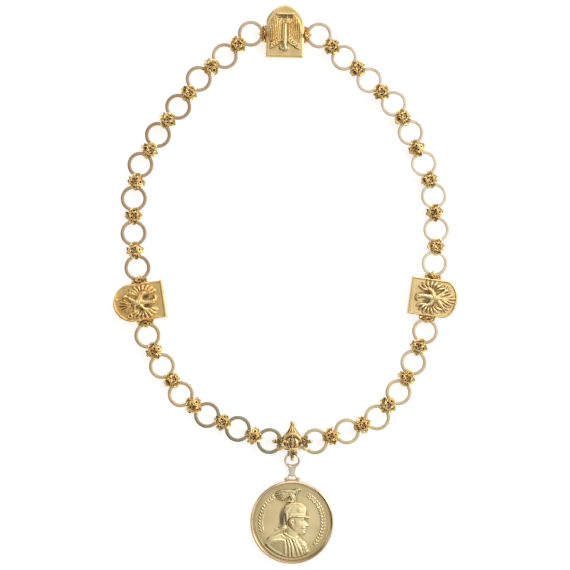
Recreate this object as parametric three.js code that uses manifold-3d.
// A chain of office, laid out flat and face up as it would be worn: flat rings and
// flower-cup beads in a closed loop, three shield plaques, and a crown link that carries
// a framed medal on a jump ring and a bail.
// Millimetres, +Z up. The origin is the middle of the footprint, on the surface below.
// +Y is towards the plaque at the nape. Left and right are as seen from the front, with
// +X to the right.
import * as THREE from "three";
import { mergeVertices } from "three/addons/utils/BufferGeometryUtils.js";
import Module from "manifold-3d";

const wasm = await Module();
wasm.setup();

// Running gap between pieces that hang in each other.
const gap = 0.3;
// Depth that fused pieces sink into each other, so that they join.
const bite = 0.05;

// Flat rings.
const ringOuterDiameter = 19.6;
const ringBandWidth = 2.6;
const ringThickness = 1.6;
const ringSides = 14;

// Eyelets, which stand on edge and hold a ring's band. Play is along the chain, and rise is
// the room above and below a band.
const eyeletWall = 1.1;
const eyeletWidth = 2.2;
const eyeletPlay = 1.0;
const eyeletTaper = 0.75;
const capEyeletRise = 0.6;

// Beads: a small core with a flower cup on each of eight sides. A seat is the distance from
// a piece's middle to where the band that it holds bears on it.
const beadSeat = 5.9;
const beadCoreHalfWidth = 2.5;
const beadCoreHalfHeight = 3.1;
const cupRoot = 1.4;
const cupReach = 6.3;
const cupMouthRadius = 2.75;
const cupRootRadius = 0.6;
// How far the cups rise from the rings' plane, in degrees.
const cupRise = 38;
const cupSides = 4;
const eyeletPostHalfHeight = 2.8;
// How far the rings lie below the middle of the beads.
const ringDrop = 0.6;
// How far each bead is rolled about the chain, in degrees, repeated along a run.
const beadRolls = [0, 14, -12, 6, -18, 17, -4, 10];

// Shield plaques and the half beads soldered to their sides.
const plaqueWidth = 28.5;
const plateThickness = 4.6;
const plateChamfer = 0.7;
// How far a plaque's middle lies out from the line of its half beads.
const plaqueOffset = 2.6;
const plaqueRimWidth = 1.5;
const reliefHeight = 1.7;
const reliefInset = 0.5;
const capSeat = 4.7;
const capBossRadius = 4.6;
const capBossTopRadius = 3.7;
const capBossThickness = 1.0;
const capBossSides = 8;
const capCupRoot = 0.7;
const capCupRise = 58;
const capCupReach = 5.0;
const capCupRadius = 2.3;
const capSideCupTurn = 76;
const capSideCupReach = 6.0;
const capSideCupRadius = 1.7;

// The crown link: a block with three eyelets, a roof that sweeps up to a spire, a dome on
// it, and three turrets that reach out over the rings and the pendant's jump ring.
const crownSeat = 10.4;
const crownPendantSeat = 10.9;
const crownBlockWidth = 12.8;
const crownBlockLength = 9.5;
const crownBlockThickness = 4.2;
const crownRoofClearance = 0.6;
const crownRoofThickness = 2.0;
const crownRoofHalfWidth = 8.4;
const crownSpireLength = 12.4;
const crownCollarWidth = 4.2;
const crownCollarLength = 1.2;
const crownCollarThickness = 2.8;
const spireBallRadius = 2.0;
const domeHalfWidth = 6.1;
const domeHalfLength = 5.6;
const domeRise = 5.2;
const turretRoot = 3.7;
const turretReach = 12.9;
const pendantTurretReach = 12.3;
const turretRootRadius = 1.2;
const turretMouthRadius = 2.4;
const turretBallRadius = 1.6;
// How far a ball's middle stands out from what it sits on, as a share of its radius.
const ballSeat = 0.75;

// Jump ring, bail and medal.
const jumpRingRadius = 5.2;
const jumpRingWireRadius = 1.0;
const bailStrap = 0.8;
const bailWireSpacing = 5.4;
const bailTopWidth = 7.0;
const bailFootWidth = 2.4;
const bailEase = 0.06;
const frameOuterRadius = 31.5;
const frameThickness = 4.2;
const frameLip = 1.1;
const frameWall = 1.2;
const frameBevel = 0.6;
const frameSides = 28;
const coinThickness = 2.6;
const coinRimWidth = 1.2;
const coinRimBevel = 0.4;
const coinFieldDepth = 0.5;
const bustHeight = 1.5;
const loopRadius = 3.2;
const loopWireRadius = 0.7;
const loopCentreAboveFrame = 1.6;
const bracketWidth = 11.9;
const bracketTopAboveFrame = 2.2;
const bracketDepth = 4.0;
const bracketThickness = 2.6;

// The plaques' lengths over all and along their straight sides, and how deep the field of the
// rimmed ones is sunk.
const leftPlaqueLength = 39.3;
const leftPlaqueStraight = 25.3;
const rightPlaqueLength = 36.6;
const rightPlaqueStraight = 25.6;
const napePlaqueLength = 39.8;
const napePlaqueStraight = 26.5;
const plaqueFieldDepth = 0.9;

// The plaques, each cast by itself. Point is how pointed the foot is, and leans is how far the
// plaque leans, as a share of the lean at which its foot rests on the surface. Before and after
// are the places in the list of runs of the runs on either side.
const plaques = [
  {
    name: "plaque_left", length: leftPlaqueLength, straight: leftPlaqueStraight, point: 0.02,
    sunk: plaqueFieldDepth, leans: 0.5, before: 0, after: 1,
  },
  {
    name: "plaque_right", length: rightPlaqueLength, straight: rightPlaqueStraight, point: -0.02,
    sunk: plaqueFieldDepth, leans: 1, before: 2, after: 3,
  },
  {
    name: "plaque_nape", length: napePlaqueLength, straight: napePlaqueStraight, point: 0.08,
    sunk: 0, leans: 0, before: 3, after: 0,
  },
];

// The runs of chain, in order from the nape plaque down the wearer's right side and back
// up the other. Slack is how far each ring's band lies in from its seat, as a share of the
// play that it has there.
const runs = [
  { name: "chain_upper_left", rings: 9, slack: 0.1 },
  { name: "chain_lower_left", rings: 6, slack: 0.4 },
  { name: "chain_lower_right", rings: 6, slack: 0.6 },
  { name: "chain_upper_right", rings: 9, slack: 0.42 },
];

// The route that the chain lies in, chosen by hand, from the nape plaque round to it.
// Only its shape counts: it is drawn at the length that the links need.
const chainRoute = [
  [0.0, 187.3], [-25.2, 188.0], [-45.0, 171.2], [-64.3, 154.4], [-79.6, 133.8],
  [-108.2, 90.1], [-113.9, 51.4], [-110.8, 12.5], [-103.5, -38.1], [-78.8, -82.0],
  [-58.7, -98.2], [-35.5, -108.7], [-12.0, -117.8], [5.3, -118.7], [22.5, -118.1],
  [47.0, -110.4], [69.6, -99.8], [85.6, -80.5], [105.2, -35.3], [112.3, 15.5],
  [111.8, 66.2], [94.3, 113.6], [81.6, 135.4], [44.3, 169.9], [25.6, 186.6],
];

// How far a round wire or band bends away from its tangent over half a width.
const sag = (radius, halfWidth) => radius - Math.sqrt(radius ** 2 - halfWidth ** 2);

// Sizes that follow from those above.
const ringInnerRadius = ringOuterDiameter / 2 - ringBandWidth;
const beadCoreHalfLength = beadSeat - ringBandWidth - eyeletPlay;
const beadHeight = cupReach;
const ringHeight = beadHeight - ringDrop;
const ringReach = ringInnerRadius - gap - sag(ringInnerRadius, eyeletWidth / 2);
const plaqueToRing = plaqueWidth / 2 + capSeat + ringReach;
const crownToRing = crownSeat + ringReach;
const coinRadius = frameOuterRadius - frameWall - gap;

const beadGold = new THREE.MeshStandardMaterial({ color: 0xd6a84c, roughness: 0.34, metalness: 1 });
const plaqueGold = new THREE.MeshStandardMaterial({ color: 0xd9b35c, roughness: 0.42, metalness: 1 });
const crownGold = new THREE.MeshStandardMaterial({ color: 0xd8b878, roughness: 0.3, metalness: 1 });
const paleGold = new THREE.MeshStandardMaterial({ color: 0xe6d9b0, roughness: 0.22, metalness: 1 });
const frameGold = new THREE.MeshStandardMaterial({ color: 0xe3bf96, roughness: 0.25, metalness: 1 });
const medalGold = new THREE.MeshStandardMaterial({ color: 0xcdb975, roughness: 0.45, metalness: 1 });

// A three.js geometry as a solid that can be joined and cut.
function solidOf(geometry) {
  geometry.deleteAttribute("normal");
  geometry.deleteAttribute("uv");
  const merged = mergeVertices(geometry, 1e-4);
  const corners = merged.index.array;
  const faces = [];
  for (let i = 0; i < corners.length; i += 3) {
    const [a, b, c] = corners.slice(i, i + 3);
    if (a !== b && b !== c && c !== a) faces.push(a, b, c);
  }
  return new wasm.Manifold(
    new wasm.Mesh({
      numProp: 3,
      vertProperties: merged.attributes.position.array,
      triVerts: new Uint32Array(faces),
    }),
  );
}

function geometryOf(solid) {
  const { vertProperties, triVerts, numProp, numVert } = solid.getMesh();
  const points = new Float32Array(numVert * 3);
  for (let i = 0; i < numVert; i++) {
    points.set(vertProperties.subarray(i * numProp, i * numProp + 3), i * 3);
  }
  const geometry = new THREE.BufferGeometry();
  geometry.setAttribute("position", new THREE.BufferAttribute(points, 3));
  geometry.setIndex(new THREE.BufferAttribute(triVerts, 1));
  return geometry;
}

const fused = (geometries) => geometries.map(solidOf).reduce((whole, piece) => whole.add(piece));

const moved = (geometry, matrix) => geometry.clone().applyMatrix4(matrix);

function meshOf(name, geometry, material) {
  geometry.computeVertexNormals();
  const mesh = new THREE.Mesh(geometry, material);
  mesh.name = name;
  return mesh;
}

// A profile of [radius, height] pairs turned about Z. It starts and ends on the axis, or
// closes on itself.
function turned(profile, sides) {
  const points = profile.map(([radius, height]) => new THREE.Vector2(radius, height));
  return new THREE.LatheGeometry(points, sides).rotateX(Math.PI / 2);
}

// A flat outline of [x, y] pairs, raised from z = low by height.
function raised(outline, low, height) {
  const shape = new THREE.Shape(outline.map(([x, y]) => new THREE.Vector2(x, y)));
  const plate = new THREE.ExtrudeGeometry(shape, { depth: height, bevelEnabled: false });
  return plate.translate(0, 0, low);
}

function ball(radius, x, y, z, sides = 7, rows = 4) {
  return new THREE.SphereGeometry(radius, sides, rows).translate(x, y, z);
}

// A flower cup: a tapered spike with a wide mouth, from near the centre out along a
// direction, which is given in degrees round Z from +X and in degrees above the XY plane.
function cup(azimuth, elevation, root, reach, rootRadius, mouthRadius, sides = cupSides) {
  const spike = new THREE.CylinderGeometry(
    mouthRadius, rootRadius, reach - root, sides, 1, false, Math.PI / sides,
  );
  return spike
    .rotateZ(-Math.PI / 2)
    .translate((reach + root) / 2, 0, 0)
    .rotateY(THREE.MathUtils.degToRad(-elevation))
    .rotateZ(THREE.MathUtils.degToRad(azimuth));
}

// An eyelet along +X: a loop standing on edge in the XZ plane, whose slot ends at the seat
// that holds a ring's band or a wire.
function eyelet(root, seat, slotLength, halfHeight) {
  const top = halfHeight + eyeletWall;
  const tip = seat + eyeletWall;
  const outline = [[root, -top], [tip, -eyeletTaper * top], [tip, eyeletTaper * top], [root, top]];
  const slot = [
    [seat - slotLength, -halfHeight], [seat - slotLength, halfHeight],
    [seat, halfHeight], [seat, -halfHeight],
  ];
  const shape = new THREE.Shape(outline.map(([x, z]) => new THREE.Vector2(x, z)));
  shape.holes.push(new THREE.Path(slot.map(([x, z]) => new THREE.Vector2(x, z))));
  const loop = new THREE.ExtrudeGeometry(shape, { depth: eyeletWidth, bevelEnabled: false });
  return loop.translate(0, 0, -eyeletWidth / 2).rotateX(Math.PI / 2);
}

// A flat ring lying in the XY plane. The sides of its hole lie outside the true circle, so
// that the room for its neighbours is kept.
function flatRing() {
  const inner = ringInnerRadius / Math.cos(Math.PI / ringSides);
  const [outer, half] = [ringOuterDiameter / 2, ringThickness / 2];
  return turned([[inner, -half], [outer, -half], [outer, half], [inner, half], [inner, -half]], ringSides);
}

// A bead with the chain along X: a core with eight flower cups, four above and four below
// the rings' plane. At each end a post joins the upper cup to the lower one, and a ring
// runs in the eye between post and core.
function bead() {
  const core = new THREE.OctahedronGeometry(Math.SQRT2).rotateZ(Math.PI / 4);
  core.scale(beadCoreHalfLength, beadCoreHalfWidth, beadCoreHalfHeight / Math.SQRT2);
  const pieces = [core];
  for (const side of [1, -1]) {
    for (const azimuth of [0, 90, 180, 270]) {
      pieces.push(cup(azimuth, side * cupRise, cupRoot, cupReach, cupRootRadius, cupMouthRadius));
    }
    const post = new THREE.BoxGeometry(eyeletWall, eyeletWidth, 2 * eyeletPostHalfHeight);
    pieces.push(post.translate(side * (beadSeat + eyeletWall / 2), 0, 0));
  }
  return geometryOf(fused(pieces));
}

// A half bead along +X, from the side of a plaque outwards: a low boss, an eyelet and four
// flower cups.
function cap() {
  const boss = new THREE.CylinderGeometry(
    capBossTopRadius, capBossRadius, capBossThickness + bite, capBossSides,
  );
  const pieces = [
    boss.rotateZ(-Math.PI / 2).translate((capBossThickness - bite) / 2, 0, 0),
    eyelet(0, capSeat, ringBandWidth + eyeletPlay, ringThickness / 2 + capEyeletRise),
  ];
  for (const side of [1, -1]) {
    pieces.push(
      cup(0, side * capCupRise, capCupRoot, capCupReach, cupRootRadius, capCupRadius),
      cup(side * capSideCupTurn, 0, capCupRoot, capSideCupReach, cupRootRadius, capSideCupRadius),
    );
  }
  return fused(pieces);
}

// A figure's part of the given outline, in shares of a plaque's width and of the relief's
// height, standing on the field.
function reliefOf(outline, share) {
  const points = outline.map(([x, y]) => [x * plaqueWidth, y * plaqueWidth]);
  return raised(points, 0, share * reliefHeight);
}

// The outline of feathers that fan out from a root, between two angles in degrees, with a
// notch between each two.
function fanOutline(count, [x, y], reach, notch, from, to) {
  const point = (step, radius) => {
    const angle = THREE.MathUtils.degToRad(from + ((to - from) * step) / (count - 1));
    return [x + radius * Math.cos(angle), y + radius * Math.sin(angle)];
  };
  const edge = Array.from({ length: 2 * count - 1 }, (_, i) => point(i / 2, i % 2 ? notch : reach));
  return [[x, y], ...edge];
}

const bothSides = (pieces) => [...pieces, ...pieces.map(mirrored)];

// The eagle with spread wings on the side plaques. Its head is towards the straight edge, +Y.
function spreadEagle() {
  const w = plaqueWidth;
  const body = new THREE.SphereGeometry(1, 8, 5).scale(0.12 * w, 0.24 * w, reliefHeight * 1.15);
  return [
    body.translate(0, 0.03 * w, 0),
    ball(0.085 * w, 0, 0.34 * w, 0.2 * reliefHeight),
    reliefOf([[-0.03, 0.37], [-0.17, 0.33], [-0.03, 0.3]], 0.8),
    reliefOf(fanOutline(5, [0, -0.12], 0.42, 0.36, -122, -58), 0.75),
    ...bothSides([
      reliefOf(fanOutline(8, [0.1, 0.06], 0.32, 0.25, -62, 92), 0.75),
      reliefOf([[0.04, -0.14], [0.17, -0.32], [0.23, -0.29], [0.1, -0.1]], 0.9),
    ]),
  ];
}

// The eagle with lowered wings on the nape plaque: it stands on a bar, and its head is
// towards the straight edge, +Y.
function restingEagle() {
  const w = plaqueWidth;
  const profile = [[0, -0.21], [0.07, -0.19], [0.075, 0.36], [0, 0.4]];
  return [
    turned(profile.map(([r, y]) => [r * w, y * w]), 7).rotateX(-Math.PI / 2),
    ball(0.1 * w, 0, 0.42 * w, 0.1 * reliefHeight),
    reliefOf([[-0.2, -0.44], [0.2, -0.44], [0.17, -0.38], [-0.17, -0.38]], 1),
    ...bothSides([
      reliefOf([[0.025, -0.4], [0.06, -0.4], [0.06, -0.17], [0.025, -0.17]], 0.8),
      reliefOf([
        [0.1, 0.3], [0.1, -0.24], [0.14, -0.3], [0.18, -0.22], [0.22, -0.28], [0.26, -0.18],
        [0.3, -0.22], [0.33, -0.1], [0.37, -0.12], [0.38, 0.2], [0.33, 0.36], [0.2, 0.4],
      ], 0.8),
    ]),
  ];
}

// The mirror image of a geometry across the YZ plane, with its faces still outward.
function mirrored(geometry) {
  const flat = geometry.index ? geometry.toNonIndexed() : geometry.clone();
  flat.scale(-1, 1, 1);
  const points = flat.attributes.position.array;
  for (let i = 0; i < points.length; i += 9) {
    for (let k = 0; k < 3; k++) {
      [points[i + 3 + k], points[i + 6 + k]] = [points[i + 6 + k], points[i + 3 + k]];
    }
  }
  return flat;
}

// A shield's outline, drawn in by inset: straight at the top, +Y, with two arcs that meet
// at the foot.
function shieldOutline({ length, straight, point }, inset) {
  const half = plaqueWidth / 2 - inset;
  const top = length / 2 - inset;
  const shoulder = length / 2 - straight;
  const steps = 6;
  const arc = Array.from({ length: steps + 1 }, (_, i) => {
    const angle = ((Math.PI / 2) * i) / steps;
    const pull = 1 - point * Math.sin(2 * angle);
    return [half * Math.cos(angle) * pull, shoulder - (shoulder + top) * Math.sin(angle) * pull];
  });
  const mirror = arc.slice(0, -1).map(([x, y]) => [-x, y]);
  return [[half, top], [-half, top], ...mirror, ...arc.reverse()];
}

// A plaque with the chain along X and its straight edge at +Y: a cushion plate, its relief,
// and a half bead soldered to each side.
function plaque(shape, relief) {
  const half = plateThickness / 2;
  const field = half - shape.sunk;
  let plate = fused([
    raised(shieldOutline(shape, 0), -half, plateThickness - plateChamfer),
    raised(shieldOutline(shape, plateChamfer), half - plateChamfer - bite, plateChamfer + bite),
  ]);
  if (shape.sunk > 0) {
    plate = plate.subtract(solidOf(raised(shieldOutline(shape, plaqueRimWidth), field, plateThickness)));
  }
  const figure = fused(relief.map((piece) => piece.translate(0, 0, field - bite)));
  const inside = solidOf(raised(shieldOutline(shape, reliefInset), 0, plateThickness + reliefHeight));
  const capGeometry = geometryOf(cap());
  const caps = [0, Math.PI].map((turn) =>
    capGeometry.clone().translate(plaqueWidth / 2, 0, 0).rotateZ(turn),
  );
  return plate.add(figure.intersect(inside)).translate([0, -plaqueOffset, 0]).add(fused(caps));
}

// The crown link with the chain along X and its spire along +Y.
function crown() {
  const [w, s] = [crownRoofHalfWidth, crownSpireLength];
  const roofLow = ringThickness / 2 + crownRoofClearance;
  const roofMiddle = roofLow + crownRoofThickness / 2;
  const sweep = [[0.82, -0.36], [1, 0.06], [0.8, 0.34], [0.5, 0.6], [0.34, 0.82], [0.25, 1]];
  const right = sweep.map(([x, y]) => [x * w, y * s]);
  const left = right.map(([x, y]) => [-x, y]).reverse();
  const collar = new THREE.BoxGeometry(crownCollarWidth, crownCollarLength, crownCollarThickness);
  const dome = new THREE.SphereGeometry(1, 10, 6).scale(domeHalfWidth, domeHalfLength, domeRise);
  const pieces = [
    raised([...right, ...left], roofLow, crownRoofThickness),
    new THREE.BoxGeometry(crownBlockWidth, crownBlockLength, crownBlockThickness),
    dome.translate(0, 0, roofLow),
    collar.translate(0, s, roofMiddle),
    ball(spireBallRadius, 0, s + ballSeat * spireBallRadius, roofMiddle),
  ];
  for (const [azimuth, reach] of [[0, turretReach], [180, turretReach], [-90, pendantTurretReach]]) {
    const turret = cup(azimuth, 0, turretRoot, reach, turretRootRadius, turretMouthRadius);
    const top = ball(turretBallRadius, reach + ballSeat * turretBallRadius, 0, 0);
    top.rotateZ(THREE.MathUtils.degToRad(azimuth));
    pieces.push(turret.translate(0, 0, roofMiddle + turretRootRadius / 2));
    pieces.push(top.translate(0, 0, roofMiddle + turretRootRadius / 2));
  }
  for (const side of [1, -1]) {
    const [x, y] = right[0];
    pieces.push(ball(turretBallRadius, side * x, y - ballSeat * turretBallRadius, roofMiddle));
    const loop = eyelet(
      crownBlockWidth / 2 - eyeletWall, crownSeat, ringBandWidth + eyeletPlay, ringThickness / 2 + gap,
    );
    pieces.push(side > 0 ? loop : loop.rotateZ(Math.PI));
  }
  const wireRoom = jumpRingWireRadius + gap;
  const pendantEye = eyelet(
    crownBlockLength / 2 - eyeletWall, crownPendantSeat, 2 * wireRoom, wireRoom,
  );
  return fused([...pieces, pendantEye.rotateZ(-Math.PI / 2)]);
}

const jumpRing = (grow = 0) => new THREE.TorusGeometry(jumpRingRadius, jumpRingWireRadius + grow, 6, 16);

// A strap bent into a closed loop round the jump ring's wire, at the origin, and the
// medal's, further down -Y. It is cut to a taper, and notched where the jump ring bends
// through it.
function bail() {
  const headHalf = jumpRingWireRadius + gap + bailEase;
  const footHalf = loopWireRadius + gap + sag(loopRadius, bailFootWidth / 2);
  const steps = 5;
  const loop = (grow) => {
    const turns = Array.from({ length: steps }, (_, i) => (Math.PI * i) / (steps - 1));
    const arc = (y, radius) => turns.map((a) => [y + radius * Math.sin(a), -radius * Math.cos(a)]);
    return [...arc(0, headHalf + grow), ...arc(-bailWireSpacing, -footHalf - grow)];
  };
  const shape = new THREE.Shape(loop(bailStrap).map(([y, z]) => new THREE.Vector2(y, z)));
  shape.holes.push(new THREE.Path(loop(0).map(([y, z]) => new THREE.Vector2(y, z))));
  const strap = new THREE.ExtrudeGeometry(shape, { depth: bailTopWidth, bevelEnabled: false });
  const across = new THREE.Matrix4().makeBasis(
    new THREE.Vector3(0, 1, 0),
    new THREE.Vector3(0, 0, 1),
    new THREE.Vector3(1, 0, 0),
  );
  strap.applyMatrix4(across).translate(-bailTopWidth / 2, 0, 0);
  const head = headHalf + bailStrap;
  const foot = -bailWireSpacing - footHalf - bailStrap;
  const [wide, narrow] = [bailTopWidth / 2, bailFootWidth / 2];
  const taper = raised([[-narrow, foot], [narrow, foot], [wide, head], [-wide, head]], -2 * head, 4 * head);
  const notch = jumpRing(gap).translate(0, jumpRingRadius, 0);
  return solidOf(strap).intersect(solidOf(taper)).subtract(solidOf(notch));
}

// The medal's frame: a channel that holds the coin's edge, with a bracket and a loop.
function medalFrame() {
  const [outer, half] = [frameOuterRadius, frameThickness / 2];
  const floor = coinRadius + gap;
  const lip = coinRadius - frameLip;
  const groove = coinThickness / 2 + gap;
  const channel = turned(
    [
      [lip, -half], [outer - frameBevel, -half], [outer, 0], [outer - frameBevel, half], [lip, half],
      [lip, groove], [floor, groove], [floor, -groove], [lip, -groove], [lip, -half],
    ],
    frameSides,
  );
  const loopCentre = frameOuterRadius + loopCentreAboveFrame;
  const bracketMiddle = frameOuterRadius + bracketTopAboveFrame - bracketDepth / 2;
  const bracket = new THREE.BoxGeometry(bracketWidth, bracketDepth, bracketThickness);
  bracket.translate(0, bracketMiddle, 0);
  const loop = new THREE.TorusGeometry(loopRadius, loopWireRadius, 5, 14).translate(0, loopCentre, 0);
  const holeRadius = loopRadius - loopWireRadius;
  const eye = new THREE.CylinderGeometry(holeRadius, holeRadius, frameThickness, 14);
  eye.rotateX(Math.PI / 2).translate(0, loopCentre, 0);
  const bore = new THREE.CylinderGeometry(floor, floor, 2 * groove, frameSides).rotateX(Math.PI / 2);
  return fused([channel, bracket]).subtract(solidOf(eye)).add(solidOf(loop)).subtract(solidOf(bore));
}

// The coin's bust in profile, looking to +X, and the crest of its helmet. The outlines, and
// the middles and half sizes of the rounded masses on them, are shares of the field's
// radius.
const bustOutline = [
  [-0.68, -0.58], [-0.62, -0.4], [-0.4, -0.31], [-0.24, -0.24], [-0.4, -0.2], [-0.34, -0.08],
  [-0.33, 0.2], [-0.24, 0.4], [-0.05, 0.52], [0.16, 0.5], [0.3, 0.38], [0.32, 0.24],
  [0.43, 0.14], [0.33, 0.12], [0.34, 0.04], [0.42, -0.06], [0.34, -0.09], [0.36, -0.17],
  [0.32, -0.21], [0.3, -0.3], [0.18, -0.32], [0.16, -0.42], [0.36, -0.56], [0.44, -0.76],
  [0.2, -0.88], [-0.1, -0.92], [-0.42, -0.82],
];
const crestOutline = [
  [-0.12, 0.5], [-0.1, 0.6], [-0.36, 0.66], [-0.4, 0.74], [-0.2, 0.84], [0.0, 0.9],
  [0.14, 0.84], [0.32, 0.84], [0.22, 0.76], [0.12, 0.7], [0.08, 0.5],
];
const bustMasses = [
  { x: 0, y: 0.26, halfWidth: 0.27, halfLength: 0.24 },
  { x: 0.15, y: -0.08, halfWidth: 0.17, halfLength: 0.2 },
  { x: -0.16, y: -0.62, halfWidth: 0.38, halfLength: 0.24 },
];

function coin() {
  const [half, radius] = [coinThickness / 2, coinRadius];
  const field = half - coinFieldDepth;
  const rim = radius - frameLip - coinRimWidth;
  const disc = turned(
    [[0, -half], [radius, -half], [radius, half], [rim, half], [rim - coinRimBevel, field], [0, field]],
    frameSides,
  );
  const flat = (outline, share) =>
    raised(outline.map(([x, y]) => [x * rim, y * rim]), field - bite, share * bustHeight);
  const rounded = ({ x, y, halfWidth, halfLength }) =>
    new THREE.SphereGeometry(1, 10, 6)
      .scale(halfWidth * rim, halfLength * rim, bustHeight)
      .translate(x * rim, y * rim, field + bustHeight / 4);
  const bust = fused([flat(bustOutline, 0.75), flat(crestOutline, 0.6), ...bustMasses.map(rounded)]);
  return solidOf(disc).add(bust);
}

// Where each piece lies on the route.
function layOut() {
  const route = new THREE.CatmullRomCurve3(
    chainRoute.map(([x, y]) => new THREE.Vector3(x, y, 0)), true, "catmullrom", 0.5,
  );
  route.arcLengthDivisions = 2000;
  const pitchOf = (run) => 2 * (beadSeat - run.slack * eyeletPlay + ringInnerRadius);
  const ends = [plaqueToRing, plaqueToRing, crownToRing, plaqueToRing, plaqueToRing];
  let walked = 0;
  const stations = runs.map((run, i) => {
    walked += ends[i];
    const places = Array.from({ length: run.rings }, (_, k) => walked + k * pitchOf(run));
    walked = places.at(-1) + ends[i + 1];
    return places;
  });
  const total = walked;
  const scale = total / route.getLength();
  return stations.map((places) =>
    places.map((place) => route.getPointAt(place / total).multiplyScalar(scale)),
  );
}

// The frame of a piece midway between two rings: X from one to the other, Y into the loop.
function between(from, to, height, roll = 0) {
  const along = to.clone().sub(from).normalize();
  const inward = new THREE.Vector3(0, 0, 1).cross(along);
  const frame = new THREE.Matrix4().makeBasis(along, inward, new THREE.Vector3(0, 0, 1));
  const middle = from.clone().add(to).multiplyScalar(0.5);
  frame.setPosition(middle.x, middle.y, height);
  return frame.multiply(new THREE.Matrix4().makeRotationX(roll));
}

const group = new THREE.Group();
const ringCentres = layOut();

// The four runs of rings and beads, each fused into one body.
const beadShape = bead();
runs.forEach((run, i) => {
  const centres = ringCentres[i];
  const pieces = centres.map((centre) => flatRing().translate(centre.x, centre.y, ringHeight));
  for (let k = 0; k + 1 < centres.length; k++) {
    const roll = THREE.MathUtils.degToRad(beadRolls[(k + 3 * i) % beadRolls.length]);
    pieces.push(moved(beadShape, between(centres[k], centres[k + 1], beadHeight, roll)));
  }
  group.add(meshOf(run.name, geometryOf(fused(pieces)), beadGold));
});

// The plaques.
for (const shape of plaques) {
  const footLean = Math.asin((ringHeight - plateThickness / 2) / (shape.length / 2 + plaqueOffset));
  const frame = between(
    ringCentres[shape.before].at(-1), ringCentres[shape.after][0], ringHeight, shape.leans * footLean,
  );
  const relief = shape.sunk > 0 ? spreadEagle() : restingEagle();
  group.add(meshOf(shape.name, moved(geometryOf(plaque(shape, relief)), frame), plaqueGold));
}

// The crown link. What it carries hangs from its centre along its -Y.
const crownFrame = between(ringCentres[1].at(-1), ringCentres[2][0], ringHeight);
group.add(meshOf("crown_link", moved(geometryOf(crown()), crownFrame), crownGold));

// The jump ring and bail hang in one straight slope, from the crown's eyelet down to the
// medal, which lies flat.
const medalHeight = frameThickness / 2;
const upperWire = crownPendantSeat - gap - jumpRingWireRadius - sag(jumpRingRadius, eyeletWidth / 2);
const slopeLength = 2 * jumpRingRadius + bailWireSpacing;
const slope = Math.asin((ringHeight - medalHeight) / slopeLength);
const medalDrop =
  upperWire + slopeLength * Math.cos(slope) + loopRadius + loopCentreAboveFrame + frameOuterRadius;

const slopeFrame = crownFrame.clone()
  .multiply(new THREE.Matrix4().makeTranslation(0, -upperWire, 0))
  .multiply(new THREE.Matrix4().makeRotationX(slope));
const jumpGeometry = geometryOf(solidOf(jumpRing().translate(0, -jumpRingRadius, 0)));
group.add(meshOf("jump_ring", moved(jumpGeometry, slopeFrame), paleGold));
const bailGeometry = geometryOf(bail()).translate(0, -2 * jumpRingRadius, 0);
group.add(meshOf("bail", moved(bailGeometry, slopeFrame), paleGold));

const medalPlace = crownFrame.clone()
  .multiply(new THREE.Matrix4().makeTranslation(0, -medalDrop, medalHeight - ringHeight));
group.add(meshOf("medal_frame", moved(geometryOf(medalFrame()), medalPlace), frameGold));
group.add(meshOf("medal_coin", moved(geometryOf(coin()), medalPlace), medalGold));

// The origin is brought to the middle of the footprint, at the lowest point.
const extent = new THREE.Box3().setFromObject(group);
const middle = extent.getCenter(new THREE.Vector3());
group.position.set(-middle.x, -middle.y, -extent.min.z);

export default group;
